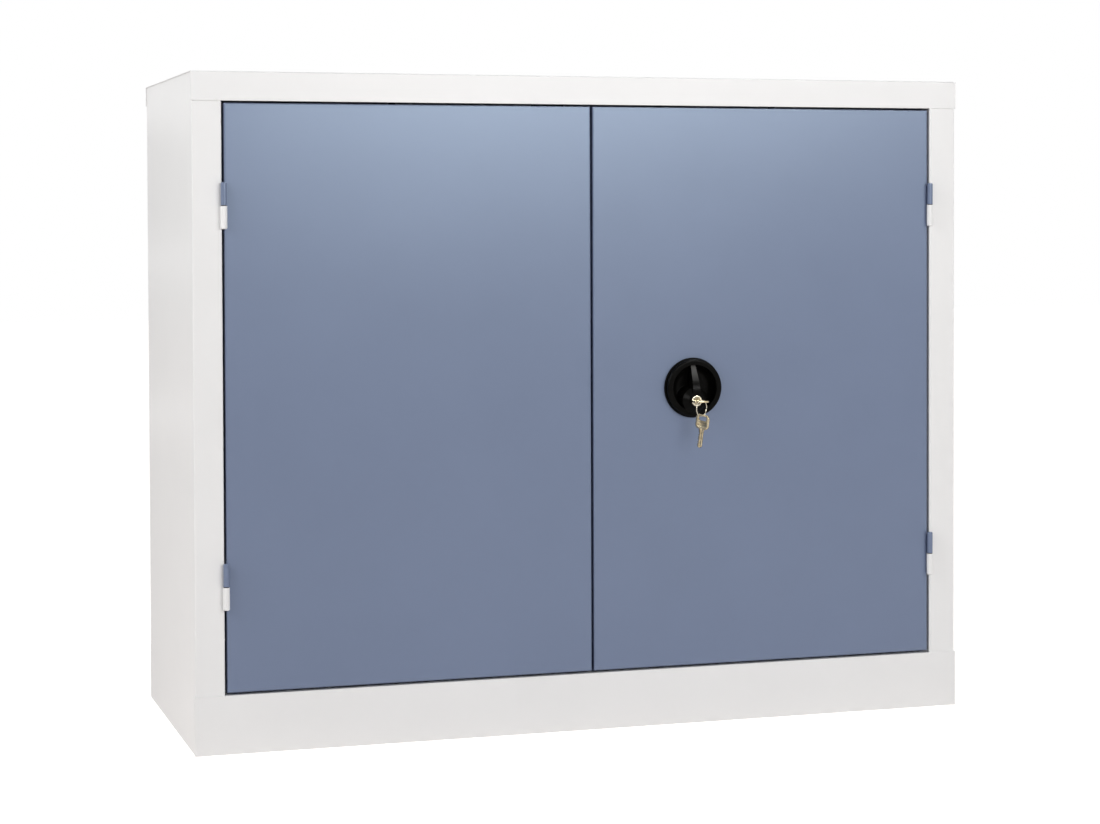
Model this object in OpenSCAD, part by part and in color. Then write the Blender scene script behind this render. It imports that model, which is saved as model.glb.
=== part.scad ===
/* [Cabinet] */
// Overall width
body_w = 1200; // [1000:10:1400]
// Overall height
body_h = 980; // [820:10:1200]
// Overall depth of the body
body_d = 460; // [420:10:600]
// Sheet thickness of the body
sheet = 1.2; // [1:0.1:1.5]
// Height of the front header
header_h = 42; // [36:1:60]
// Height of the plinth
plinth_h = 85; // [70:1:120]
// Width of each front post's face
post_w = 43; // [38:1:55]
// Depth of each post's return beside the door
jamb_depth = 30; // [26:1:34]
// Lip folded at the end of a return
lip = 13; // [10:1:16]
// Depth of the returns behind the header and on the plinth
sill_depth = 42; // [40:1:50]
// Outer radius of the folded edges
bend_r = 2; // [1.8:0.1:2.5]

/* [Doors] */
// Gap beside and between the doors
door_gap = 3.5; // [3:0.5:5]
// Gap over the doors
head_gap = 3; // [2.5:0.5:5]
// Gap under the doors
sill_gap = 3.5; // [2.5:0.5:5]
// Depth of a door
door_t = 20; // [19:1:22]
// Sheet thickness of a door
door_sheet = 1; // [0.8:0.1:1.2]

/* [Hinges] */
// Height of the upper hinges' joint above the floor
upper_hinge_z = 788; // [600:1:800]
// Height of the lower hinges' joint above the floor
lower_hinge_z = 242; // [180:1:320]
// Length of each hinge half
hinge_half = 33; // [26:1:40]
// Outer radius of the door's knuckle
door_knuckle_r = 4.3; // [4:0.1:4.8]
// Outer radius of the frame's knuckle
frame_knuckle_r = 4.9; // [4.5:0.1:5]
// Distance of the hinge axis in front of the doors
hinge_out = 5.7; // [5.5:0.1:7]
// Radius of the hinge pin
hinge_pin_r = 2.5; // [2:0.1:3]
// Thickness of a hinge leaf
leaf_t = 1.5; // [1.2:0.1:1.5]
// Radial clearance between turning pieces
turn_clear = 0.06; // [0.05:0.01:0.09]

/* [Shelves] */
// Height of the lower shelf's rest above the floor
lower_shelf_slot = 9; // [4:1:12]
// Rack slots between the two shelves
shelf_step = 12; // [6:1:14]
// Distance from slot to slot
slot_pitch = 25; // [20:1:30]
// Depth of a shelf's folded edges
shelf_t = 28; // [20:1:35]
// Width of a rack's web
rack_w = 30; // [24:1:40]
// Depth of a rack
rack_depth = 12; // [10:1:16]

/* [Handle] */
// Distance of the handle's centre from the cabinet's middle
handle_x = 160; // [120:1:200]
// Height of the handle's centre above the floor
handle_z = 511; // [450:1:560]
// Radius of the fixed rosette
rosette_r = 45.5; // [44:0.5:48]
// Thickness of the fixed rosette
rosette_t = 3; // [2:0.5:4]
// Outer radius of the knob
knob_r = 43.5; // [40:0.5:46]
// How far the knob stands out of the door
knob_out = 12; // [10:0.5:16]
// Radius of the knob's cup behind the door
cup_r = 37.5; // [36:0.5:39]
// Wall between the knob's cup and the outside of its sleeve
sleeve_wall = 4.3; // [3.5:0.1:5]
// Radius of the finger bowls' mouth
bowl_r = 35; // [30:0.5:36]
// Width of the grip at its top
grip_top = 7; // [5:0.5:10]
// Width of the grip at the handle's centre
grip_w = 12; // [9:0.5:14]
// How far the grip stands out of the door
grip_out = 19.5; // [18:0.5:24]
// Radius of the grip's foot around the lock
foot_r = 12.5; // [11.5:0.5:14]
// Distance of the lock below the handle's centre
lock_drop = 19; // [17:0.5:20]
// Radius of the lock cylinder
cylinder_r = 8.2; // [7.5:0.1:9]
// Radius of the turning plug
plug_r = 5.6; // [5:0.1:6]

/* [Drive] */
// Gear module of the pinion and the racks
gear_module = 1.5; // [1.5:0.1:1.6]
// Teeth on the pinion
pinion_teeth = 14; // [14:1:15]
// Backlash between the teeth
backlash = 0.3; // [0.2:0.05:0.4]
// Width of a locking rod
rod_w = 8; // [7:0.5:9]
// Thickness of a locking rod
rod_t = 4; // [3:0.5:4]
// Side of the square spindle
spindle_w = 8; // [7:0.5:8]

/* [Keys] */
// Thickness of a key
key_t = 2.2; // [1.8:0.1:2.4]
// Width of a key's bow
bow_w = 24; // [22:0.5:28]
// Length of a key's bow
bow_l = 22; // [20:0.5:24]
// Length of a key's blade
blade_l = 26; // [22:0.5:28]
// Width of a key's blade
blade_w = 7.6; // [7:0.1:8]
// Rim between the hole and the end of the bow
bow_rim = 2.4; // [2:0.1:2.6]
// Middle radius of the key ring
ring_r = 12.3; // [12:0.1:13]
// Radius of the key ring's wire
wire_r = 0.6; // [0.5:0.05:0.7]

/* [Hidden] */
$fn = 48;

white = [0.93, 0.93, 0.92];
door_blue = [0.46, 0.52, 0.64];
plastic = [0.04, 0.04, 0.045];
zinc = [0.72, 0.73, 0.74];
nickel = [0.80, 0.78, 0.70];

e = 0.01;
seat = 0.3;
side_x = body_w / 2 - sheet;
post_y = body_d / 2 - sheet;
open_x = side_x - post_w;
inner_x = side_x - sheet;
door_y = -post_y;
door_low = plinth_h + sill_gap;
door_high = body_h - header_h - head_gap;
door_h = door_high - door_low;
door_w = open_x - door_gap * 1.5;
door_lip = lip;
flange = 20;

// What rounding takes off a square corner at the origin that opens towards +X and +Y.
module edge_cut(r) {
    difference() {
        translate([-1, -1]) square(r + 1);
        translate([r, r]) circle(r);
    }
}

module along_x(x0, x1) {
    translate([x0, 0, 0]) rotate([90, 0, 90]) linear_extrude(x1 - x0) children();
}

module box(x0, x1, y0, y1, z0, z1) {
    translate([x0, y0, z0]) cube([x1 - x0, y1 - y0, z1 - z0]);
}

module right_only() {
    mirror([1, 0, 0]) children();
}

// One side wall with its rear flange, its post, the return beside the door and the lip.
module side_panel() {
    color(white) {
        linear_extrude(body_h - sheet) difference() {
            union() {
                translate([-side_x, -post_y]) square([sheet, 2 * post_y]);
                translate([-side_x, -post_y]) square([post_w, sheet]);
                translate([-open_x - sheet, -post_y]) square([sheet, jamb_depth]);
                translate([-open_x - lip, -post_y + jamb_depth - sheet]) square([lip, sheet]);
                translate([-side_x, post_y - sheet]) square([flange, sheet]);
            }
            translate([-side_x, -post_y]) edge_cut(bend_r);
            translate([-open_x, -post_y]) mirror([1, 0]) edge_cut(bend_r);
            translate([-side_x, post_y]) mirror([0, 1]) edge_cut(bend_r);
        }
        box(-inner_x - e, -side_x + flange, -post_y + jamb_depth + 5, post_y - 30, 0, sheet);
        box(-inner_x - e, -side_x + flange, -post_y + jamb_depth + 5, post_y - 30,
            body_h - 2 * sheet, body_h - sheet);
    }
}

module left_side_panel() {
    side_panel();
}

module right_side_panel() {
    right_only() side_panel();
}

rod_slot_w = rod_w + 2;
rod_slot_t = rod_t + 2;

// Holes in the header's return and in the plinth's return that the rods lock into.
module rod_holes(z, side) {
    box(rod_x(side) - rod_slot_w / 2, rod_x(side) + rod_slot_w / 2,
        rod_y - rod_slot_t / 2, rod_y + rod_slot_t / 2, z - 5, z + 5);
}

module top_panel() {
    top = body_h;
    color(white) {
        along_x(-body_w / 2, body_w / 2) difference() {
            union() {
                translate([-body_d / 2, top - sheet]) square([body_d, sheet]);
                translate([-body_d / 2, top - header_h]) square([sheet, header_h]);
                translate([body_d / 2 - sheet, top - 30]) square([sheet, 30]);
            }
            translate([-body_d / 2, top]) mirror([0, 1]) edge_cut(bend_r);
            translate([body_d / 2, top]) mirror([1, 0]) mirror([0, 1]) edge_cut(bend_r);
        }
        difference() {
            along_x(-open_x, open_x) difference() {
                union() {
                    translate([-body_d / 2 + sheet - e, top - header_h])
                        square([sill_depth - sheet, sheet]);
                    translate([-body_d / 2 + sill_depth - sheet, top - header_h])
                        square([sheet, lip]);
                }
                translate([-body_d / 2 + sill_depth, top - header_h])
                    mirror([1, 0]) edge_cut(bend_r);
            }
            rod_holes(top - header_h, -1);
        }
    }
}

bead_r = 5;
module back_panel() {
    y1 = post_y - sheet;
    color(white) difference() {
        union() {
            box(-inner_x + 0.5, inner_x - 0.5, y1 - sheet, y1, plinth_h + 2 * sheet, body_h - 2 * sheet);
            for (i = [-1.5 : 1 : 1.5])
                translate([i * body_w / 4.6, y1 - sheet, plinth_h + 60])
                    cylinder(r = bead_r, h = body_h - plinth_h - 150);
        }
        for (i = [-1.5 : 1 : 1.5])
            translate([i * body_w / 4.6, y1 - sheet, plinth_h + 60 - e])
                cylinder(r = bead_r - 1, h = body_h - plinth_h - 150 + 2 * e);
        box(-inner_x, inner_x, y1, y1 + 10, 0, body_h);
    }
}

module plinth() {
    color(white) difference() {
        union() {
            along_x(-body_w / 2, body_w / 2)
                translate([-body_d / 2, 0]) square([sheet, plinth_h]);
            along_x(-open_x, open_x) difference() {
                union() {
                    translate([-body_d / 2 + sheet - e, plinth_h - sheet])
                        square([sill_depth - sheet, sheet]);
                    translate([-body_d / 2 + sill_depth - sheet, plinth_h - lip])
                        square([sheet, lip]);
                    translate([-body_d / 2 + sheet - e, 0]) square([flange, sheet]);
                }
                translate([-body_d / 2 + sill_depth, plinth_h])
                    mirror([1, 0]) mirror([0, 1]) edge_cut(bend_r);
            }
        }
        rod_holes(plinth_h, 1);
    }
}

rear_x = side_x - flange;
module rear_plinth() {
    color(white) {
        along_x(-side_x, side_x)
            translate([body_d / 2 - sheet, 0]) square([sheet, plinth_h]);
        along_x(-rear_x, rear_x) {
            translate([body_d / 2 - 40, plinth_h - sheet]) square([40 - sheet + e, sheet]);
            translate([body_d / 2 - 40, plinth_h - lip]) square([sheet, lip]);
            translate([body_d / 2 - sheet - flange, 0]) square([flange + e, sheet]);
        }
    }
}

floor_front = -post_y + jamb_depth + 3.5;
module floor_panel() {
    y1 = post_y - 4 * sheet;
    color(white) {
        box(-inner_x + 0.5, inner_x - 0.5, floor_front, y1, plinth_h, plinth_h + sheet);
        for (s = [-1, 1])
            box(s * (inner_x - 0.5 - sheet / 2) - sheet / 2, s * (inner_x - 0.5 - sheet / 2)
                + sheet / 2, floor_front, y1, plinth_h - 25, plinth_h + e);
    }
}

// A top-hat section: web on +Y, feet on -Y.
module hat(w, d, foot, t) {
    translate([-w / 2, d - t]) square([w, t]);
    for (s = [-1, 1]) {
        translate([s * (w - t) / 2 - t / 2, 0]) square([t, d]);
        translate([s * (w + foot - t) / 2 - (foot + t) / 2, 0]) square([foot + t, t]);
    }
}

module base_bearer() {
    color(white) along_x(-inner_x + 40, inner_x - 40)
        translate([0, plinth_h]) mirror([0, 1]) hat(60, plinth_h, 18, sheet);
}

module top_stiffener() {
    color(white) along_x(-side_x + 24, side_x - 24)
        translate([0, body_h - sheet]) mirror([0, 1]) hat(50, 18, 15, sheet);
}

rack_low = plinth_h + sheet + 16;
rack_high = body_h - 26;
rack_face = inner_x - rack_depth;
slot_low = rack_low + 20;
slots = floor((rack_high - 20 - slot_low) / slot_pitch);
front_rack_y = floor_front + 15 + rack_w / 2 + 12;
rear_rack_y = post_y - 60;
slot_w = 14;
slot_h = 5;

module rack(y) {
    color(zinc) difference() {
        translate([-inner_x, y, rack_low]) linear_extrude(rack_high - rack_low)
            rotate(-90) hat(rack_w, rack_depth, 10, sheet);
        for (i = [0 : slots])
            box(-rack_face - 5, -rack_face + 5, y - slot_w / 2, y + slot_w / 2,
                slot_low + i * slot_pitch, slot_low + i * slot_pitch + slot_h);
    }
}

module front_left_rack() {
    rack(front_rack_y);
}

module rear_left_rack() {
    rack(rear_rack_y);
}

module front_right_rack() {
    right_only() rack(front_rack_y);
}

module rear_right_rack() {
    right_only() rack(rear_rack_y);
}

shelf_x = rack_face - 2;
shelf_front = floor_front + 10;
shelf_back = post_y - 14;
return_inset = 30;
clip_t = 1.5;
clip_reach = 14;
function rest_z(slot) = slot_low + slot * slot_pitch + slot_h / 2 + clip_t / 2;
upper_shelf_slot = lower_shelf_slot + shelf_step;

// A tray that faces down, with a return along each long edge.
module shelf(slot) {
    z0 = rest_z(slot);
    color(white) {
        difference() {
            box(-shelf_x, shelf_x, shelf_front, shelf_back, z0, z0 + shelf_t);
            box(-shelf_x + sheet, shelf_x - sheet, shelf_front + sheet, shelf_back - sheet,
                z0 - 1, z0 + shelf_t - sheet);
            for (s = [0, 1])
                translate([0, s * (shelf_front + shelf_back), z0 + shelf_t])
                    mirror([0, s, 0]) along_x(-shelf_x - 1, shelf_x + 1)
                        translate([shelf_front, 0]) mirror([0, 1]) edge_cut(bend_r);
        }
        for (y = [shelf_front + sheet - e, shelf_back - lip])
            box(-shelf_x + return_inset, shelf_x - return_inset, y, y + lip - sheet + e,
                z0, z0 + sheet);
    }
}

module lower_shelf() {
    shelf(lower_shelf_slot);
}

module upper_shelf() {
    shelf(upper_shelf_slot);
}

// Clips hook through the racks and carry the shelf's side edges on their tongues.
module clips(slot) {
    z0 = rest_z(slot);
    color(zinc) for (s = [0, 1]) mirror([s, 0, 0]) for (y = [front_rack_y, rear_rack_y]) {
        box(-rack_face - 5, -rack_face + clip_reach, y - 6, y + 6, z0 - clip_t, z0);
        box(-rack_face + 0.1, -rack_face + 0.1 + clip_t, y - 6, y + 6, z0 - 16, z0 - clip_t + e);
        box(-rack_face - 5, -rack_face - 5 + clip_t, y - 6, y + 6, z0 - 1.5 * clip_t - 1, z0 - e);
    }
}

module lower_shelf_clips() {
    clips(lower_shelf_slot);
}

module upper_shelf_clips() {
    clips(upper_shelf_slot);
}

hinge_x = open_x - door_gap / 2;
hinge_y = door_y - hinge_out;
washer_t = 1;
leaf_back = 19;

// A knuckle with a rounded free end. Its bore is open at z = 0 and stops inside the head.
module knuckle(r, h, bore, bore_h) {
    round_r = r * 0.45;
    difference() {
        rotate_extrude() {
            square([r, h - round_r]);
            square([r - round_r, h]);
            translate([r - round_r, h - round_r]) circle(round_r);
        }
        translate([0, 0, -1]) cylinder(r = bore, h = bore_h + 1);
    }
}

pin_up = hinge_half - 8;
pin_down = hinge_half - 10;

module door_hinge(z) {
    translate([-hinge_x, hinge_y, z]) {
        translate([0, 0, washer_t / 2])
            knuckle(door_knuckle_r, hinge_half, hinge_pin_r + turn_clear, pin_up + 1);
        difference() {
            box(door_gap / 2 - leaf_t, door_gap / 2, 0, hinge_out + leaf_back - 6,
                washer_t / 2 + 1, hinge_half - 4);
            translate([0, 0, -1]) cylinder(r = door_knuckle_r - 0.5, h = hinge_half);
        }
    }
}

module frame_hinge(z) {
    translate([-hinge_x, hinge_y, z]) mirror([0, 0, 1]) {
        translate([0, 0, washer_t / 2])
            knuckle(frame_knuckle_r, hinge_half, hinge_pin_r, pin_down);
        difference() {
            box(-door_gap / 2, -door_gap / 2 + leaf_t, 0, hinge_out + leaf_back,
                washer_t / 2 + 1, hinge_half - 4);
            translate([0, 0, -1]) cylinder(r = frame_knuckle_r - 0.5, h = hinge_half);
        }
    }
}

module hinge_pin(z) {
    translate([-hinge_x, hinge_y, z - washer_t / 2 - pin_down])
        cylinder(r = hinge_pin_r, h = pin_down + pin_up + washer_t);
}

module hinge_washer(z) {
    translate([-hinge_x, hinge_y, z]) difference() {
        cylinder(r = door_knuckle_r - 0.4, h = washer_t - 0.1, center = true);
        cylinder(r = hinge_pin_r + turn_clear, h = 5, center = true);
    }
}

module left_frame_hinges() {
    color(white) {
        frame_hinge(upper_hinge_z);
        frame_hinge(lower_hinge_z);
    }
}

module right_frame_hinges() {
    right_only() left_frame_hinges();
}

module left_hinge_pins() {
    color(zinc) {
        hinge_pin(upper_hinge_z);
        hinge_pin(lower_hinge_z);
    }
}

module right_hinge_pins() {
    right_only() left_hinge_pins();
}

module hinge_washers() {
    color([0.1, 0.1, 0.1]) for (s = [0, 1]) mirror([s, 0, 0]) {
        hinge_washer(upper_hinge_z);
        hinge_washer(lower_hinge_z);
    }
}

buffer_r = 5;
buffer_h = 15;
buffer_x = 300;
buffer_y = door_y + door_t + seat + buffer_r;
module door_buffers() {
    color(plastic) for (s = [-1, 1]) {
        translate([s * buffer_x, buffer_y, plinth_h]) cylinder(r = buffer_r, h = buffer_h);
        translate([s * buffer_x, buffer_y, body_h - header_h - buffer_h])
            cylinder(r = buffer_r, h = buffer_h);
    }
}

catch_x = -60;
catch_w = 46;
strike_t = 1.5;
module magnet_catch() {
    y0 = door_y + door_t + strike_t + seat;
    color(plastic)
        box(catch_x - catch_w / 2, catch_x + catch_w / 2, y0, y0 + 14,
            body_h - header_h - 16, body_h - header_h);
}

module catch_strike() {
    color(zinc) box(catch_x - 18, catch_x + 18, door_y + door_t, door_y + door_t + strike_t,
        door_high - 11.5, door_high - 1);
}

// A folded door: rounded front edges, a return on all four sides and a lip behind.
module door_pan() {
    x0 = -open_x + door_gap;
    intersection() {
        translate([0, 0, door_low]) linear_extrude(door_h) difference() {
            translate([x0, door_y]) square([door_w, door_t]);
            translate([x0, door_y]) edge_cut(bend_r);
            translate([x0 + door_w, door_y]) mirror([1, 0]) edge_cut(bend_r);
        }
        along_x(x0, x0 + door_w) difference() {
            translate([door_y, door_low]) square([door_t, door_h]);
            translate([door_y, door_low]) edge_cut(bend_r);
            translate([door_y, door_high]) mirror([0, 1]) edge_cut(bend_r);
        }
    }
}

module door_panel() {
    x0 = -open_x + door_gap;
    difference() {
        door_pan();
        box(x0 + door_sheet, x0 + door_w - door_sheet, door_y + door_sheet,
            door_y + door_t - door_sheet, door_low + door_sheet, door_high - door_sheet);
        box(x0 + door_lip, x0 + door_w - door_lip, door_y + door_t - 2 * door_sheet,
            door_y + door_t + 1, door_low + door_lip, door_high - door_lip);
    }
}

module stiffener(x) {
    translate([x, door_y + door_sheet, door_low + 18]) color(door_blue)
        linear_extrude(door_h - 36) hat(46, door_t - 3 * door_sheet, 12, door_sheet);
}

module left_door_panel() {
    color(door_blue) door_panel();
}

module left_door_stiffener() {
    stiffener(-open_x + door_gap + door_w / 2);
}

module left_door_hinges() {
    color(door_blue) {
        door_hinge(upper_hinge_z);
        door_hinge(lower_hinge_z);
    }
}

sleeve_r = cup_r + turn_clear + sleeve_wall;
module right_door_panel() {
    color(door_blue) difference() {
        right_only() door_panel();
        at_handle() translate([0, 0, -5]) cylinder(r = sleeve_r + 0.3, h = 8);
    }
}

// The right door's stiffener stands clear of the lock case.
stiffener_aside = 60;
module right_door_stiffener() {
    stiffener(open_x - door_gap - door_w / 2 + stiffener_aside);
}

module right_door_hinges() {
    right_only() left_door_hinges();
}

// The handle's own frame: origin on the door's face, +Z out of the door, +Y up.
module at_handle() {
    translate([handle_x, door_y, handle_z]) rotate([90, 0, 0]) children();
}

cup_back = -15.5;
sleeve_back = -16.5;
plate_t = 1.5;
case_back = sleeve_back - 11;
case_w = 94;
case_h = 106;
hub_r = 6;
nut_t = 4;
screw_in = 6;
cam_l = 20.6;
cam_w = 6;
notch_r = cup_r + 2.9;
notch_run = 14;

module handle_housing() {
    color(plastic) at_handle() difference() {
        union() {
            rotate_extrude() {
                square([rosette_r, rosette_t - 1]);
                square([rosette_r - 1, rosette_t]);
                translate([rosette_r - 1, rosette_t - 1]) circle(1);
            }
            translate([0, 0, sleeve_back]) cylinder(r = sleeve_r, h = e - sleeve_back);
        }
        translate([0, 0, sleeve_back - 1]) cylinder(r = cup_r + turn_clear, h = 40);
        for (a = [180, 270]) rotate(a) intersection() {
            translate([0, 0, sleeve_back - 1]) cylinder(r = notch_r, h = 1 - sleeve_back - 12.2);
            translate([0, -notch_run, sleeve_back - 1])
                cube([notch_r, notch_run + cam_w / 2 + 1, 20]);
        }
    }
}

module housing_nut() {
    color(plastic) at_handle() translate([0, 0, -door_sheet - nut_t]) difference() {
        cylinder(r = sleeve_r + 5, h = nut_t);
        translate([0, 0, -1]) cylinder(r = sleeve_r, h = nut_t + 2);
        for (a = [0 : 60 : 300]) rotate(a + 30)
            translate([sleeve_r + 3, -4, -1]) cube([4, 8, nut_t + 2]);
    }
}

module at_plug() {
    at_handle() translate([0, -lock_drop, 0]) children();
}

bowl_floor = -9;
floor_round = 14;
rim_round = 3;
grip_low = -lock_drop - 6;
grip_high = bowl_r + 1;
crest_low = -7;
crest_high = 3.5;
crest_slope = atan((grip_out - rosette_t + 1) / (grip_high - crest_high));
crest_r = 1.01 * (crest_high - crest_low) / tan(crest_slope / 2);

// The grip from the front: it widens evenly from its top to the lock.
module grip_plan() {
    spread = (grip_w - grip_top) / 2 / grip_high;
    polygon([[-grip_top / 2, grip_high], [grip_top / 2, grip_high],
        [grip_w / 2 - spread * grip_low, grip_low], [-grip_w / 2 + spread * grip_low, grip_low]]);
}

// The grip from the side: it rises out of the bowl's edge to a rounded crest.
module grip_side() {
    difference() {
        polygon([[grip_low, bowl_floor - 1], [grip_low, grip_out], [crest_high, grip_out],
            [grip_high, rosette_t - 1], [grip_high, bowl_floor - 1]]);
        difference() {
            translate([crest_low, 0]) square([2 * (crest_high - crest_low), grip_out + 1]);
            translate([crest_low, grip_out - crest_r]) circle(crest_r);
        }
    }
}

// The foot slopes from the lock down to the rim, and is steeper inside the bowls.
module grip_foot() {
    rim_foot = foot_r + grip_out - knob_out;
    intersection() {
        translate([0, -lock_drop, knob_out - e])
            cylinder(r1 = rim_foot + e, r2 = foot_r, h = grip_out - knob_out + e);
        cylinder(r = knob_r - rim_round, h = 100);
    }
    intersection() {
        translate([0, -lock_drop, bowl_floor - 1])
            cylinder(r1 = rim_foot + 3.5, r2 = rim_foot, h = knob_out - bowl_floor + 1);
        cylinder(r = bowl_r + 1, h = 100, center = true);
    }
}

module handle_knob() {
    color(plastic) at_handle() difference() {
        union() {
            difference() {
                rotate_extrude() {
                    translate([0, rosette_t + seat])
                        square([knob_r, knob_out - rosette_t - seat - rim_round]);
                    translate([0, rosette_t + seat])
                        square([knob_r - rim_round, knob_out - rosette_t - seat]);
                    translate([knob_r - rim_round, knob_out - rim_round]) circle(rim_round);
                    translate([0, cup_back]) square([cup_r, rosette_t - cup_back + 1]);
                }
                rotate_extrude() {
                    translate([0, bowl_floor]) square([bowl_r - floor_round, 40]);
                    translate([0, bowl_floor + floor_round]) square([bowl_r, 40]);
                    translate([bowl_r - floor_round, bowl_floor + floor_round])
                        circle(floor_round);
                }
            }
            intersection() {
                translate([0, 0, bowl_floor - 1]) linear_extrude(40) grip_plan();
                rotate([90, 0, 90]) linear_extrude(60, center = true) grip_side();
            }
            grip_foot();
        }
        translate([0, -lock_drop, -12.5]) cylinder(r = cylinder_r, h = 40);
        translate([0, -lock_drop, cup_back - 1]) intersection() {
            cylinder(r = cam_l + 0.8, h = 1 - cup_back - 12.4);
            translate([-cam_l - 2, -cam_l - 1]) cube([cam_l + 8, cam_l + 7, 10]);
        }
        translate([-spindle_w / 2, -spindle_w / 2, cup_back - 1])
            cube([spindle_w, spindle_w, 9]);
    }
}

spindle_front = cup_back + 8;
spindle_back = case_back - plate_t - 2;
module drive_spindle() {
    color(zinc) at_handle() difference() {
        translate([-spindle_w / 2, -spindle_w / 2, spindle_back])
            cube([spindle_w, spindle_w, spindle_front - spindle_back]);
        translate([0, 0, spindle_back - 1]) cylinder(r = 2, h = 11);
    }
}

module spindle_screw() {
    color(zinc) at_handle() {
        translate([0, 0, spindle_back]) cylinder(r = 2, h = 9);
        translate([0, 0, spindle_back - 2.2]) difference() {
            cylinder(r = 5.2, h = 2.2);
            translate([-4, -0.6, -1]) cube([8, 1.2, 2]);
        }
    }
}

pitch_r = gear_module * pinion_teeth / 2;
base_r = pitch_r * cos(20);
outer_r = pitch_r + gear_module;
root_r = pitch_r - 1.2 * gear_module;
gear_front = sleeve_back - plate_t - 1.3;
gear_t = 6;

function involute(r, a) = r * [cos(a) + a * PI / 180 * sin(a), sin(a) - a * PI / 180 * cos(a)];
function turned(p, a) = [p[0] * cos(a) - p[1] * sin(a), p[0] * sin(a) + p[1] * cos(a)];
roll_end = sqrt(pow(outer_r / base_r, 2) - 1) * 180 / PI;
half_tooth = 90 / pinion_teeth - backlash / 4 / pitch_r * 180 / PI
    + (tan(20) - 20 * PI / 180) * 180 / PI;
flank_steps = 5;

module tooth() {
    flank = [for (i = [0 : flank_steps]) turned(involute(base_r, roll_end * i / flank_steps),
        -half_tooth)];
    foot = turned([root_r - 0.5, 0], -half_tooth);
    polygon(concat([foot], flank,
        [for (i = [flank_steps : -1 : 0]) [flank[i][0], -flank[i][1]]], [[foot[0], -foot[1]]]));
}

// The pinion's teeth are true involutes, so the straight-sided racks roll on them freely.
module drive_pinion() {
    color(zinc) at_handle() difference() {
        union() {
            translate([0, 0, gear_front - gear_t]) linear_extrude(gear_t) {
                circle(root_r);
                for (i = [0 : pinion_teeth - 1]) rotate(i * 360 / pinion_teeth) tooth();
            }
            translate([0, 0, case_back - plate_t + 0.1])
                cylinder(r = hub_r, h = cup_back - 0.2 - case_back + plate_t - 0.1);
        }
        translate([-spindle_w / 2 - 0.05, -spindle_w / 2 - 0.05, -50])
            cube([spindle_w + 0.1, spindle_w + 0.1, 60]);
    }
}

rod_y = door_y - (gear_front - gear_t / 2);
function rod_x(side) = handle_x + side * (pitch_r + 1.2 * gear_module + rod_w / 2);
rack_teeth = 10;
tooth_pitch = PI * gear_module;

// Straight-sided rack teeth that point along +X from their pitch line at x = 0.
module rack_teeth_plan() {
    half = tooth_pitch / 4 - backlash / 4;
    top = half - gear_module * tan(20);
    base = half + 1.2 * gear_module * tan(20);
    for (i = [0 : rack_teeth - 1])
        translate([0, (i + 0.5) * tooth_pitch])
            polygon([[-1.2 * gear_module - 0.2, -base], [-1.2 * gear_module, -base],
                [gear_module, -top], [gear_module, top], [-1.2 * gear_module, base],
                [-1.2 * gear_module - 0.2, base]]);
}

// A rod seen from the front: the rack on its lower end, a rounded tip on its upper end.
module rod_plan(length, shift) {
    start = -3 * tooth_pitch;
    translate([-1.2 * gear_module - rod_w, start - 1])
        square([rod_w, length - start + 1 - rod_w / 2]);
    translate([-1.2 * gear_module - rod_w / 2, length - rod_w / 2]) circle(rod_w / 2);
    translate([0, start + shift]) rack_teeth_plan();
}

rod_back = gear_front - gear_t / 2 - rod_t / 2;
rack_low_end = 3 * tooth_pitch;
tip_gap = 2;
odd_shift = pinion_teeth % 2 * tooth_pitch / 2;
module upper_rod() {
    color(zinc) at_handle() translate([-pitch_r, -rack_low_end, rod_back])
        linear_extrude(rod_t)
            rod_plan(door_high - tip_gap - handle_z + rack_low_end, odd_shift);
}

module lower_rod() {
    color(zinc) at_handle() rotate(180) translate([-pitch_r, -rack_low_end, rod_back])
        linear_extrude(rod_t) rod_plan(handle_z - door_low - tip_gap + rack_low_end, 0);
}

// Folded case behind the handle: it carries the pinion's hub and closes over the racks.
module lock_case() {
    color(zinc) at_handle() difference() {
        union() {
            translate([-case_w / 2, -case_h / 2, sleeve_back - plate_t])
                cube([case_w, case_h, plate_t]);
            for (s = [-1, 1])
                translate([s * (case_w - plate_t) / 2 - plate_t / 2, -case_h / 2, case_back])
                    cube([plate_t, case_h, sleeve_back - case_back - e]);
            for (s = [-1, 1], t = [-1, 1])
                translate([s * (case_w / 2 - 8), t * (case_h / 2 - 8), case_back])
                    cylinder(r = 4, h = sleeve_back - plate_t - case_back + e);
        }
        cylinder(r = hub_r + turn_clear, h = 200, center = true);
        for (s = [-1, 1], t = [-1, 1])
            translate([s * (case_w / 2 - 8), t * (case_h / 2 - 8), case_back - 1])
                cylinder(r = 1.5, h = screw_in + 1);
    }
}

module lock_case_cover() {
    color(zinc) at_handle() translate([0, 0, case_back - plate_t]) difference() {
        translate([-case_w / 2, -case_h / 2, 0]) cube([case_w, case_h, plate_t]);
        translate([0, 0, -1]) cylinder(r = hub_r + turn_clear, h = plate_t + 2);
        for (s = [-1, 1], t = [-1, 1])
            translate([s * (case_w / 2 - 8), t * (case_h / 2 - 8), -1])
                cylinder(r = 1.7, h = plate_t + 2);
    }
}

module lock_case_screws() {
    color(zinc) at_handle() for (s = [-1, 1], t = [-1, 1])
        translate([s * (case_w / 2 - 8), t * (case_h / 2 - 8), case_back - plate_t]) {
            cylinder(r = 1.5, h = screw_in - 0.5);
            translate([0, 0, -2]) cylinder(r = 3, h = 2);
        }
}

door_guide_l = -door_t - rod_back + 0.5;
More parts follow.
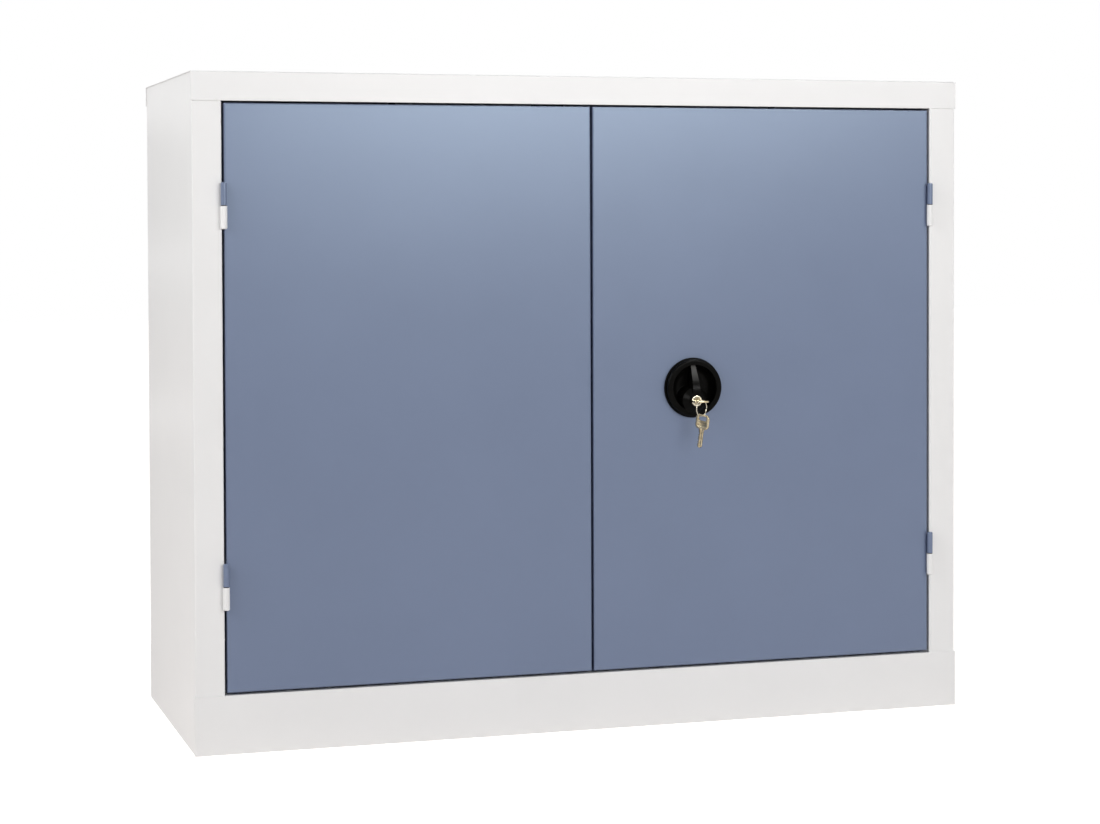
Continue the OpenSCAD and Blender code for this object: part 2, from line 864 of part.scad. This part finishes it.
// U-shaped guides on the door's upper and lower lips keep the rods' ends in line.
module rod_guide() {
    w = rod_w + 1;
    t = rod_t + 1;
    translate([-1.2 * gear_module - rod_w / 2 - pitch_r, 0, rod_back - 0.5]) {
        for (s = [-1, 1])
            translate([s * (w / 2 + 0.75) - 0.75, 0, 0]) cube([1.5, 9, door_guide_l]);
        for (s = [-1, 1])
            translate([s * (w / 2 + 4) - 4, 0, door_guide_l - 1.5]) cube([8, 9, 1.5]);
        translate([-w / 2 - 1.5, 0, -1.5]) cube([w + 3, 9, 1.5 + e]);
    }
}

module rod_guides() {
    color(zinc) at_handle() {
        translate([0, door_high - handle_z - 11.5, 0]) rod_guide();
        translate([0, door_low - handle_z + 11.5, 0]) rotate(180) rod_guide();
    }
}

cylinder_front = grip_out + 0.8;
module lock_cylinder() {
    color(nickel) at_plug() difference() {
        rotate_extrude() {
            translate([0, -12.5]) square([cylinder_r, cylinder_front - 1 + 12.5]);
            translate([0, -12.5]) square([cylinder_r - 1, cylinder_front + 12.5]);
            translate([cylinder_r - 1, cylinder_front - 1]) circle(1);
        }
        translate([0, 0, -20]) cylinder(r = plug_r + turn_clear, h = 60);
    }
}

module lock_plug() {
    color(nickel) at_plug() difference() {
        translate([0, 0, -13]) cylinder(r = plug_r, h = 13 + cylinder_front - 0.4);
        translate([-blade_w / 2 - 0.15, -key_t / 2 - 0.1, -9])
            cube([blade_w + 0.3, key_t + 0.2, 60]);
    }
}

// The cam points sideways here and turns down into the sleeve's notch to lock the handle.
module lock_cam() {
    color(zinc) at_plug() translate([0, 0, -15]) linear_extrude(2) {
        circle(5);
        translate([-cam_l, -cam_w / 2]) square([cam_l, cam_w]);
    }
}

bow_r = 6;
shoulder = 2.3;
// A key in its own plane: the blade runs along -Y, the bow starts at the shoulder.
module key_plan(blade) {
    hole_w = 15;
    hole_h = 7;
    difference() {
        union() {
            translate([-bow_w / 2, shoulder + bow_r]) square([bow_w, bow_l - 2 * bow_r]);
            translate([-bow_w / 2 + bow_r, shoulder]) square([bow_w - 2 * bow_r, bow_l]);
            for (s = [-1, 1], t = [0, 1])
                translate([s * (bow_w / 2 - bow_r), shoulder + bow_r + t * (bow_l - 2 * bow_r)])
                    circle(bow_r);
            translate([-4.5, 0]) square([9, shoulder + 1]);
            difference() {
                translate([-blade_w / 2, -blade]) square([blade_w, blade + 1]);
                for (i = [0 : 4])
                    translate([blade_w / 2 + 0.2 + 0.5 * (i % 3), -4.5 - i * 3.6])
                        rotate(45) square(2.6, center = true);
                for (s = [-1, 1]) translate([s * blade_w / 2, -blade]) rotate(45)
                    square(3, center = true);
            }
        }
        top = shoulder + bow_l - bow_rim - hole_h / 2;
        translate([-hole_w / 2 + hole_h / 2, top - hole_h / 2])
            square([hole_w - hole_h, hole_h]);
        for (s = [-1, 1])
            translate([s * (hole_w - hole_h) / 2, top]) circle(hole_h / 2);
    }
}

module door_key() {
    color(nickel) at_plug() translate([0, -key_t / 2, cylinder_front - 0.4]) rotate([90, 0, 0])
        mirror([0, 0, 1]) linear_extrude(key_t) key_plan(blade_l - 4);
}

// The ring hangs over the end of the bow in an upright plane that is turned to the front.
ring_turn = 32;
ring_side = -1.5;
ring_gap = 0.3;
ring_reach = cylinder_front - 0.4 + shoulder + bow_l - bow_rim / 2;
ring_in = ring_r - wire_r;
rim_half = (bow_rim / 2 + 1.5 * wire_r * cos(ring_turn)) / sin(ring_turn);
ring_drop = ring_in - sqrt(ring_in * ring_in - rim_half * rim_half) + ring_gap;
ring_z = key_t / 2 + ring_drop - ring_in;

// Origin at the ring's middle, +X along the ring's plane, +Z up, +Y across it.
module at_ring() {
    translate([handle_x + ring_side, door_y - ring_reach, handle_z - lock_drop + ring_z])
        rotate(ring_turn) children();
}

module key_ring() {
    color(nickel) at_ring() rotate([90, 0, 0]) rotate_extrude() {
        translate([ring_r, wire_r * 0.9]) circle(wire_r, $fn = 24);
        translate([ring_r, -wire_r * 0.9]) circle(wire_r, $fn = 24);
    }
}

key_lean = 8.8;
hang_side = -2.8;
module spare_key() {
    color(nickel) at_ring() translate([0, 0, -ring_r]) rotate([key_lean, 0, 0])
        translate([-key_t / 2, hang_side, wire_r + 0.45 + bow_rim - bow_l - shoulder])
            rotate([90, 0, 90]) linear_extrude(key_t) key_plan(blade_l);
}

left_side_panel();
right_side_panel();
top_panel();
back_panel();
plinth();
rear_plinth();
floor_panel();
base_bearer();
top_stiffener();
front_left_rack();
rear_left_rack();
front_right_rack();
rear_right_rack();
lower_shelf();
upper_shelf();
lower_shelf_clips();
upper_shelf_clips();
left_frame_hinges();
right_frame_hinges();
left_hinge_pins();
right_hinge_pins();
hinge_washers();
door_buffers();
magnet_catch();
left_door_panel();
left_door_stiffener();
left_door_hinges();
catch_strike();
right_door_panel();
right_door_stiffener();
right_door_hinges();
handle_housing();
housing_nut();
lock_case();
lock_case_cover();
lock_case_screws();
rod_guides();
handle_knob();
drive_spindle();
drive_pinion();
spindle_screw();
lock_cylinder();
lock_plug();
lock_cam();
door_key();
key_ring();
spare_key();
upper_rod();
lower_rod();
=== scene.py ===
import math

import bpy
from mathutils import Matrix, Quaternion, Vector


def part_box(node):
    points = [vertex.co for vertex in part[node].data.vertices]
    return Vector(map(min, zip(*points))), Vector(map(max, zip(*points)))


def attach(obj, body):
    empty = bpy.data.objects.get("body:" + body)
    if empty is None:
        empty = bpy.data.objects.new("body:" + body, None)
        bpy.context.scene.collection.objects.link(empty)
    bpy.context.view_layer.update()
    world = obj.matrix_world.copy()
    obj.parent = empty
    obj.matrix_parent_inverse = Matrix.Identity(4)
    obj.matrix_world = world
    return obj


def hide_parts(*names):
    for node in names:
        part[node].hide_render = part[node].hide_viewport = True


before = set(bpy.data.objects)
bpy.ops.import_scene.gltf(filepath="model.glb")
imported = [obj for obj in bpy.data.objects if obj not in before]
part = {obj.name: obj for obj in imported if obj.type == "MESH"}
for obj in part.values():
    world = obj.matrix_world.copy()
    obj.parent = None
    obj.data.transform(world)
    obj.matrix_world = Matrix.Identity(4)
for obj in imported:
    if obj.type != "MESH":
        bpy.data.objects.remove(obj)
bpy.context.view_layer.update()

# The camera stands to the left of the cabinet at a seated person's eye height and
# looks almost level. Its lens is shifted down, as a view camera's is, to keep the
# upright edges of the cabinet upright.
camera_place = (-1.134, -3.670, 0.766)
camera_yaw = 0.3010
camera_tilt = -0.0248
camera_roll = -0.0035
focal_px = 2421
picture_px = 1100
sensor_mm = 36
lens_shift = -0.12
nearest, farthest = 0.1, 50

camera_data = bpy.data.cameras.new("camera")
camera_data.sensor_width = sensor_mm
camera_data.lens = sensor_mm * focal_px / picture_px
camera_data.shift_y = lens_shift
camera_data.clip_start = nearest
camera_data.clip_end = farthest
camera = bpy.data.objects.new("camera", camera_data)
bpy.context.scene.collection.objects.link(camera)
camera.matrix_world = (
    Matrix.Translation(camera_place)
    @ Matrix.Rotation(-camera_yaw, 4, "Z")
    @ Matrix.Rotation(math.pi / 2 + camera_tilt, 4, "X")
    @ Matrix.Rotation(camera_roll, 4, "Z")
)
bpy.context.scene.camera = camera
bpy.context.scene.view_settings.view_transform = "Standard"


class Wire:
    """A value that changes over a surface. Arithmetic on wires adds Math nodes."""

    def __init__(self, socket):
        self.socket = socket
        self.tree = socket.id_data

    def node(self, kind, settings, inputs, output=0):
        """Adds any other node: its settings first, then the values of its sockets."""
        made = self.tree.nodes.new(kind)
        for key, value in settings.items():
            if key == "stops":
                set_stops(made.color_ramp, value)
            else:
                setattr(made, key, value)
        for key, value in inputs.items():
            if isinstance(value, Wire):
                self.tree.links.new(value.socket, made.inputs[key])
            else:
                made.inputs[key].default_value = value
        return Wire(made.outputs[output])

    def _math(self, operation, first, second):
        return self.node("ShaderNodeMath", {"operation": operation}, {0: first, 1: second})

    def __add__(self, other):
        return self._math("ADD", self, other)

    __radd__ = __add__

    def __mul__(self, other):
        return self._math("MULTIPLY", self, other)

    __rmul__ = __mul__


def set_stops(ramp, stops):
    """Puts (place, colour) stops on a colour ramp."""
    while len(ramp.elements) < len(stops):
        ramp.elements.new(1)
    for element, (place, colour) in zip(ramp.elements, stops):
        element.position = place
        element.color = (*colour, 1)


# The studio is a pale floor that runs back into an even white room. A wide softbox,
# turned a little, stands over the front and a square one at the left. A strip overhead
# and three bars behind only show as gloss: on the doors' upper halves and on the side.
floor_size = 30
floor_colour = (0.90, 0.84, 0.81, 1)
floor_glow = 0.74
room_light = 0.43
in_mirrors = 0.5


def shown(tree):
    """How far the studio looks white: fully to the camera, half in gloss, else not."""
    rays = tree.nodes.new("ShaderNodeLightPath").outputs
    seen, mirrored, through = (
        Wire(rays["Is Camera Ray"]), Wire(rays["Is Glossy Ray"]), Wire(rays["Is Transmission Ray"]))
    return seen + mirrored * in_mirrors + through


bpy.ops.mesh.primitive_plane_add(size=floor_size)
floor = bpy.context.object
floor.name = "studio_floor"
floor_look = bpy.data.materials.new("studio_floor")
floor_look.use_nodes = True
floor_tree = floor_look.node_tree
floor_tree.nodes.clear()
floor_out = floor_tree.nodes.new("ShaderNodeOutputMaterial")
floor_shown = shown(floor_tree)
painted = floor_shown.node("ShaderNodeBsdfDiffuse", {}, {"Color": floor_colour})
glow = floor_shown.node(
    "ShaderNodeEmission", {}, {"Color": (1, 1, 1, 1), "Strength": floor_shown * floor_glow})
lit = floor_shown.node("ShaderNodeAddShader", {}, {0: painted, 1: glow})
floor_tree.links.new(lit.socket, floor_out.inputs["Surface"])
floor.data.materials.append(floor_look)

room = bpy.data.worlds.new("room")
bpy.context.scene.world = room
room.use_nodes = True
room_tree = room.node_tree
room_shade = room_tree.nodes["Background"]
room_strength = room_light + shown(room_tree) * (1 - room_light)
room_tree.links.new(room_strength.socket, room_shade.inputs["Strength"])
room_shade.inputs["Color"].default_value = (1, 1, 1, 1)


def softbox(name, place, aim, width, height, power, tilt=0.0, gloss_only=False):
    """A rectangular lamp facing a point. It may be tilted, or made for gloss only."""
    data = bpy.data.lights.new(name, "AREA")
    data.shape = "RECTANGLE"
    data.size, data.size_y = width, height
    data.energy = power
    lamp = bpy.data.objects.new(name, data)
    bpy.context.scene.collection.objects.link(lamp)
    lamp.location = place
    facing = (Vector(aim) - Vector(place)).to_track_quat("-Z", "Y")
    lamp.rotation_euler = (facing @ Quaternion((0, 0, 1), tilt)).to_euler()
    lamp.visible_camera = False
    lamp.visible_diffuse = not gloss_only


softbox("front_softbox", (1.05, -3.2, 1.42), (0.5, 0, 0.8), 2.1, 0.5, 42, tilt=0.13)
softbox("left_softbox", (-2.7, -1.0, 1.9), (-0.6, 0, 0.6), 1.4, 1.4, 33)
softbox("high_bar", (-1.04, 3.0, 1.10), (-0.6, 0, 0.9), 0.5, 0.14, 0.20, gloss_only=True)
softbox("middle_bar", (-1.04, 3.0, 0.664), (-0.6, 0, 0.7), 0.5, 0.04, 0.07, gloss_only=True)
softbox("low_bar", (-1.04, 3.0, 0.239), (-0.6, 0, 0.5), 0.5, 0.04, 0.07, gloss_only=True)
softbox("overhead_strip", (0.75, -1.0, 2.5), (0.16, -0.25, 0.5), 0.9, 0.6, 28, gloss_only=True)


# The body is folded from steel sheet, welded, and powder coated white. The coat is
# satin, with a fine orange peel, and wide sheets are never quite flat, so soft
# reflections wander over them.
body_white = (0.82, 0.825, 0.825)
peel_size, peel_deep, peel_strength = 0.0032, 0.0002, 0.12
wander_size, wander_deep, wander_strength = 0.35, 0.012, 0.10
drift_scale, matt_drift = 7, 0.04
edge_samples = 6


def new_look(name):
    """A new material, with its shader and its Object coordinates."""
    look = bpy.data.materials.new(name)
    look.use_nodes = True
    nodes = look.node_tree.nodes
    return look, nodes["Principled BSDF"], Wire(nodes.new("ShaderNodeTexCoord").outputs["Object"])


def noise(place, scale, detail, roughness=0.5):
    """Noise from 0 to 1 over a surface."""
    return place.node("ShaderNodeTexNoise", {}, {
        "Vector": place, "Scale": scale, "Detail": detail, "Roughness": roughness})


def ramp(fac, *stops):
    """A colour for each value, between (place, colour) stops."""
    return fac.node("ShaderNodeValToRGB", {"stops": stops}, {"Fac": fac})


def soft_edges(place, radius):
    """Normals that round the edges of a sheet or a moulding."""
    return place.node("ShaderNodeBevel", {"samples": edge_samples}, {"Radius": radius})


def powder_coat(name, colour, roughness, gloss, shade_drift, tint_of_gloss, fold_r):
    """A satin powder coat with orange peel, a slight drift of shade, and soft buckles.

    Its roughness stays on one side of 0.274, as the denoiser draws dots where it crosses."""
    look, shader, place = new_look(name)
    tree = look.node_tree
    peel = noise(place, 1 / peel_size, 1)
    wander = noise(place, 1 / wander_size, 1, 0.4)
    drift = noise(place, drift_scale, 5, 0.6)
    worn = tuple(c * (1 - shade_drift) for c in colour)
    fresh = tuple(c * (1 + shade_drift) for c in colour)
    tint = ramp(drift, (0.1, worn), (0.9, fresh))
    buckles = wander.node("ShaderNodeBump", {}, {
        "Strength": wander_strength, "Distance": wander_deep, "Height": wander,
        "Normal": soft_edges(place, fold_r)})
    skin = wander.node("ShaderNodeBump", {}, {
        "Strength": peel_strength, "Distance": peel_deep, "Height": peel, "Normal": buckles})
    matt = roughness - matt_drift / 2 + drift * matt_drift
    tree.links.new(tint.socket, shader.inputs["Base Color"])
    tree.links.new(matt.socket, shader.inputs["Roughness"])
    tree.links.new(skin.socket, shader.inputs["Normal"])
    shader.inputs["Specular IOR Level"].default_value = gloss
    shader.inputs["Specular Tint"].default_value = (*tint_of_gloss, 1)
    return look


def finish_nodes(look, *names):
    """Gives CAD nodes a material."""
    for name in names:
        part[name].data.materials.clear()
        part[name].data.materials.append(look)


white_coat = powder_coat(
    "white_powder_coat", body_white, roughness=0.31, gloss=0.37, shade_drift=0.02,
    tint_of_gloss=(1, 1, 1), fold_r=0.0008,
)
finish_nodes(
    white_coat, "left_side_panel", "right_side_panel", "top_panel", "back_panel", "plinth",
    "rear_plinth", "floor_panel", "base_bearer", "top_stiffener", "lower_shelf", "upper_shelf",
    "left_frame_hinges", "right_frame_hinges",
)

# The two doors are steel pans in a blue-grey powder coat, with a hat-section
# stiffener welded inside each and the upper halves of the lift-off hinges welded to
# their edges and sprayed with them.
door_blue = (0.137, 0.170, 0.267)
door_coat = powder_coat(
    "door_powder_coat", door_blue, roughness=0.30, gloss=1.0, shade_drift=0.04,
    tint_of_gloss=(0.71, 0.86, 1.0), fold_r=0.0018,
)
finish_nodes(
    door_coat, "left_door_panel", "right_door_panel", "left_door_stiffener",
    "right_door_stiffener", "left_door_hinges", "right_door_hinges",
)

# The racks, clips, rods and lock parts are zinc-plated steel, a little blotchy, with
# the long fine lines of drawn sheet.
zinc_pale = (0.62, 0.63, 0.64)
zinc_dark = (0.48, 0.49, 0.505)
zinc_matt, zinc_matt_drift = 0.28, 0.14
spangle_size = 0.018
line_scale = (900, 900, 30)
line_deep, line_strength = 0.0002, 0.12


def zinc_plate(name):
    """Zinc plate: blotches of two greys under fine drawn lines."""
    look, shader, place = new_look(name)
    tree = look.node_tree
    blotch = place.node("ShaderNodeTexVoronoi", {"feature": "SMOOTH_F1"}, {
        "Vector": place, "Scale": 1 / spangle_size, "Smoothness": 0.6})
    drawn = place.node("ShaderNodeMapping", {}, {"Vector": place, "Scale": line_scale})
    lines = noise(drawn, 1, 2)
    tint = ramp(blotch, (0.1, zinc_pale), (0.75, zinc_dark))
    skin = lines.node("ShaderNodeBump", {}, {
        "Strength": line_strength, "Distance": line_deep, "Height": lines})
    tree.links.new(tint.socket, shader.inputs["Base Color"])
    tree.links.new((zinc_matt + lines * zinc_matt_drift).socket, shader.inputs["Roughness"])
    tree.links.new(skin.socket, shader.inputs["Normal"])
    shader.inputs["Metallic"].default_value = 0.95
    return look


zinc = zinc_plate("zinc_plate")
finish_nodes(
    zinc, "front_left_rack", "rear_left_rack", "front_right_rack", "rear_right_rack",
    "lower_shelf_clips", "upper_shelf_clips", "left_hinge_pins", "right_hinge_pins",
    "catch_strike", "lock_case", "lock_case_cover", "lock_case_screws", "rod_guides",
    "drive_spindle", "drive_pinion", "spindle_screw", "lock_cam", "upper_rod", "lower_rod",
)

# The knob is moulded in black plastic with a fine eroded grain. A dull grey highlight is
# painted on the sloping face of its upright grip, where it tilts up, most towards the top.
plastic_black = (0.002, 0.002, 0.0017)
plastic_roughness = 0.24
plastic_grain, grain_deep, grain_strength = 0.0007, 0.00012, 0.25
plastic_gloss = 0.05
moulded_r = 0.0009
rub_scale, rub_shine, rub_fade = 60, 0.1, 1.7
painted_highlight_grey = (0.17, 0.17, 0.165)
highlight_even, highlight_patchy = 0.6, 0.6
highlight_lean_from, highlight_lean_to = 0.25, 0.5
grip_half_w = 0.0060
grip_front_y, grip_back_y = -0.2550, -0.2292
grip_foot, grip_top = 0.002, 0.0360


def moulded_plastic(name, colour, roughness, grain, highlight_box=None):
    """Moulded plastic with an eroded grain and slight polish marks.

    A box of (low, high) corners may get a painted highlight of pale grey on faces that tilt up,
    most at its top."""
    look, shader, place = new_look(name)
    tree = look.node_tree
    facing = Wire(place.socket.node.outputs["Normal"])
    pits = noise(place, 1 / grain, 3, 0.6)
    rub = noise(place, rub_scale, 4)
    skin = pits.node("ShaderNodeBump", {}, {
        "Strength": grain_strength, "Distance": grain_deep, "Height": pits,
        "Normal": soft_edges(place, moulded_r)})
    tint = ramp(rub, (0.35, colour), (0.8, tuple(c * rub_fade for c in colour)))
    if highlight_box:
        low, high = highlight_box
        spot = place.node("ShaderNodeSeparateXYZ", {}, {0: place})
        out = Wire(spot.socket.node.outputs["Y"])
        up = Wire(spot.socket.node.outputs["Z"])
        climb = spot.node("ShaderNodeMapRange", {"interpolation_type": "SMOOTHSTEP"}, {
            "Value": up, "From Min": low[2], "From Max": high[2]})
        left = spot.node("ShaderNodeMath", {"operation": "GREATER_THAN"}, {0: spot, 1: low[0]})
        right = spot.node("ShaderNodeMath", {"operation": "LESS_THAN"}, {0: spot, 1: high[0]})
        below = spot.node("ShaderNodeMath", {"operation": "LESS_THAN"}, {0: up, 1: high[2]})
        proud = spot.node("ShaderNodeMath", {"operation": "LESS_THAN"}, {0: out, 1: high[1]})
        lean = facing.node("ShaderNodeSeparateXYZ", {}, {0: facing}, output=2)
        sloped = lean.node("ShaderNodeMapRange", {}, {
            "Value": lean, "From Min": highlight_lean_from, "From Max": highlight_lean_to})
        # Painted highlight: pale grey on the grip where its face tilts up, standing in for the
        # overhead light's reflection.
        pale = climb * left * right * below * proud * sloped * (highlight_even + rub * highlight_patchy)
        tint = tint.node("ShaderNodeMix", {"data_type": "RGBA"}, {
            0: pale, 6: tint, 7: (*painted_highlight_grey, 1)}, output=2)
    tree.links.new(tint.socket, shader.inputs["Base Color"])
    tree.links.new(
        (roughness - rub_shine / 2 + rub * rub_shine).socket, shader.inputs["Roughness"])
    tree.links.new(skin.socket, shader.inputs["Normal"])
    shader.inputs["Specular IOR Level"].default_value = plastic_gloss
    return look


knob_low, knob_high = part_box("handle_knob")
knob_x, knob_z = (knob_low[0] + knob_high[0]) / 2, (knob_low[2] + knob_high[2]) / 2
grip_face = (
    (knob_x - grip_half_w, grip_front_y, knob_z + grip_foot),
    (knob_x + grip_half_w, grip_back_y, knob_z + grip_top),
)
knob_plastic = moulded_plastic(
    "knob_moulding", plastic_black, plastic_roughness, plastic_grain, grip_face)
finish_nodes(knob_plastic, "handle_knob")

# The knob's fixed housing and the nut behind the door are moulded in the same plastic,
# and so are the case of the magnetic catch and the washers between the hinge halves.
black_plastic = moulded_plastic(
    "black_moulding", plastic_black, plastic_roughness, plastic_grain)
finish_nodes(black_plastic, "handle_housing", "housing_nut", "magnet_catch", "hinge_washers")

# Each door shuts against two studs of black rubber, one that stands on the plinth
# and one that hangs under the header.
rubber_black, rubber_roughness, rubber_grain = (0.02, 0.02, 0.02), 0.7, 0.0012
buffer_rubber = moulded_plastic("buffer_rubber", rubber_black, rubber_roughness, rubber_grain)
finish_nodes(buffer_rubber, "door_buffers")

# The lock cylinder in the knob is nickel-plated brass, polished but worn, so the plate
# is warm and unevenly bright. The plug that the key turns in it is duller bare brass, and
# its colour is darkened further as painted shade of the recessed keyway round the key.
nickel_bright, nickel_worn = (0.74, 0.69, 0.56), (0.60, 0.55, 0.43)
# Painted shade: the plug's colours are darkened past its own brass for the shade in the keyway's
# recess.
shaded_plug_bright, shaded_plug_worn = (0.42, 0.37, 0.26), (0.20, 0.17, 0.11)
plate_matt, plate_matt_drift = 0.17, 0.1
wear_scale, scratch_scale = 140, 1500
scratch_deep, scratch_strength = 0.00005, 0.1
turned_r = 0.0004


def nickel_plate(name, bright, worn):
    """Worn nickel plate with a warm tone and fine rubbing marks."""
    look, shader, place = new_look(name)
    tree = look.node_tree
    wear = noise(place, wear_scale, 2)
    scratches = noise(place, scratch_scale, 2)
    tint = ramp(wear, (0.35, worn), (0.62, bright))
    skin = scratches.node("ShaderNodeBump", {}, {
        "Strength": scratch_strength, "Distance": scratch_deep, "Height": scratches,
        "Normal": soft_edges(place, turned_r)})
    tree.links.new(tint.socket, shader.inputs["Base Color"])
    tree.links.new((plate_matt + wear * plate_matt_drift).socket, shader.inputs["Roughness"])
    tree.links.new(skin.socket, shader.inputs["Normal"])
    shader.inputs["Metallic"].default_value = 1
    return look


nickel = nickel_plate("nickel_plate", nickel_bright, nickel_worn)
finish_nodes(nickel, "lock_cylinder")
shaded_plug_brass = nickel_plate("shaded_plug_brass", shaded_plug_bright, shaded_plug_worn)
finish_nodes(shaded_plug_brass, "lock_plug")

# The two keys are stamped from brass, and their thin nickel has gone yellow. Each has
# a sunk panel on both sides of its bow and a milled groove along both sides of its
# blade, and its edges are tumbled round.
key_bright, key_worn = (0.60, 0.52, 0.35), (0.34, 0.28, 0.17)
key_t = 0.0022
panel_w, panel_h, panel_deep = 0.0165, 0.0068, 0.0004
panel_middle = 0.0092
panel_round = 0.98 * panel_deep
groove_w, groove_l, groove_deep = 0.0019, 0.034, 0.0006
groove_aside, groove_top = 0.0010, 0.0035
groove_round = 0.0005
tumbled, tumbled_from = 0.00022, 0.6
weld, flat_within, smooth_within = 1e-6, 0.02, 0.7
key_brass = nickel_plate("key_brass", key_bright, key_worn)


def only(thing):
    """Leaves one object selected and active."""
    bpy.ops.object.select_all(action="DESELECT")
    thing.select_set(True)
    bpy.context.view_layer.objects.active = thing


def mill(key, size, middle, round_off, lie):
    """Cuts a block with rounded corners out of a key. It is given on the key's own axes."""
    bpy.ops.object.select_all(action="DESELECT")
    bpy.ops.mesh.primitive_cube_add(size=1)
    cutter = bpy.context.object
    bpy.ops.transform.resize(value=size)
    bpy.ops.transform.translate(value=middle)
    bpy.ops.object.transform_apply(location=True, rotation=True, scale=True)
    bevel = cutter.modifiers.new("round_corners", "BEVEL")
    bevel.width = round_off
    bevel.segments = 3
    bpy.ops.object.modifier_apply(modifier="round_corners")
    cutter.matrix_world = lie
    bpy.ops.object.transform_apply(location=True, rotation=True, scale=True)
    only(key)
    cut = key.modifiers.new("mill", "BOOLEAN")
    cut.operation = "DIFFERENCE"
    cut.solver = "EXACT"
    cut.object = cutter
    bpy.ops.object.modifier_apply(modifier="mill")
    bpy.data.objects.remove(cutter)


def finished_key(name, node, lie):
    """Finishes a key blank. Its own axes are: x over the bow, y from tip to bow, z thickness."""
    key = part[node].copy()
    key.data = part[node].data.copy()
    key.name = name
    key.data.materials.clear()
    bpy.context.scene.collection.objects.link(key)
    only(key)
    bpy.ops.object.mode_set(mode="EDIT")
    bpy.ops.mesh.select_all(action="SELECT")
    bpy.ops.mesh.remove_doubles(threshold=weld)
    bpy.ops.mesh.dissolve_limited(angle_limit=flat_within)
    bpy.ops.object.mode_set(mode="OBJECT")
    for side in (-1, 1):
        face = side * key_t / 2
        mill(key, (panel_w, panel_h, 2 * panel_deep), (0, panel_middle, face), panel_round, lie)
        groove_at = (side * groove_aside, groove_top - groove_l / 2, face)
        mill(key, (groove_w, groove_l, 2 * groove_deep), groove_at, groove_round, lie)
    only(key)
    tumble = key.modifiers.new("tumble", "BEVEL")
    tumble.width = tumbled
    tumble.segments = 2
    tumble.limit_method = "ANGLE"
    tumble.angle_limit = tumbled_from
    bpy.ops.object.modifier_apply(modifier="tumble")
    bpy.ops.object.shade_smooth_by_angle(angle=smooth_within)
    key.data.materials.append(key_brass)
    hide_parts(node)
    return key


# The door key stands in the plug with its bow to the front, so its own axes are turned
# half over about the width of its bow.
lock_x, key_shoulder_y, lock_z = 0.160, -0.2487, 0.492
door_key_lie = Matrix((
    (1, 0, 0, lock_x), (0, -1, 0, key_shoulder_y), (0, 0, -1, lock_z), (0, 0, 0, 1)))
door_key = finished_key("lock_key", "door_key", door_key_lie)
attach(door_key, "key_and_plug")

# The spare key is a second blank, cut alike. It hangs upright at the bottom of the
# ring, and leans a little to one side.
ring_low, ring_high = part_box("key_ring")
ring_middle = [(low + high) / 2 for low, high in zip(ring_low, ring_high)]
ring_r, ring_turn, key_lean = 0.0123, math.radians(32), math.radians(8.8)
hang_side, hang_drop = -0.0028, -0.02085
ring_lie = Matrix.Translation(ring_middle) @ Matrix.Rotation(ring_turn, 4, "Z")
spare_lie = (
    ring_lie
    @ Matrix.Translation((0, 0, -ring_r))
    @ Matrix.Rotation(key_lean, 4, "X")
    @ Matrix.Translation((0, hang_side, hang_drop))
    @ Matrix(((0, 0, 1, 0), (1, 0, 0, 0), (0, 1, 0, 0), (0, 0, 0, 1)))
)
spare_key = finished_key("second_key", "spare_key", spare_lie)
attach(spare_key, "hanging_key")

# The keys hang on a split ring: two turns of flattened, hardened steel wire that lie
# against each other and end in two cut faces. The wire is nickel plated.
wire_half_w, wire_half_t = 0.00042, 0.00032
wire_corners = 12
split_turns, spin_steps = 1.97, 190

bpy.ops.object.select_all(action="DESELECT")
bpy.ops.mesh.primitive_circle_add(vertices=wire_corners, radius=1, fill_type="NGON")
split_ring = bpy.context.object
split_ring.name = "split_ring"
bpy.ops.object.mode_set(mode="EDIT")
bpy.ops.mesh.select_all(action="SELECT")
bpy.ops.transform.resize(value=(wire_half_w, wire_half_t, 1))
bpy.ops.transform.translate(value=(ring_r, -split_turns * wire_half_t, 0))
bpy.ops.mesh.spin(
    steps=spin_steps, dupli=False, angle=split_turns * 2 * math.pi,
    center=(0, 0, 0), axis=(0, 1, 0),
)
bpy.ops.object.mode_set(mode="OBJECT")
for number, point in enumerate(split_ring.data.vertices):
    point.co.y += 2 * split_turns * wire_half_t * (number // wire_corners) / spin_steps
bpy.ops.object.mode_set(mode="EDIT")
bpy.ops.mesh.select_all(action="SELECT")
bpy.ops.mesh.normals_make_consistent(inside=False)
bpy.ops.object.mode_set(mode="OBJECT")
bpy.ops.object.shade_smooth_by_angle(angle=smooth_within)
split_ring.matrix_world = ring_lie
bpy.ops.object.transform_apply(location=True, rotation=True, scale=True)
split_ring.data.materials.append(nickel)
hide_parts("key_ring")
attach(split_ring, "ring")
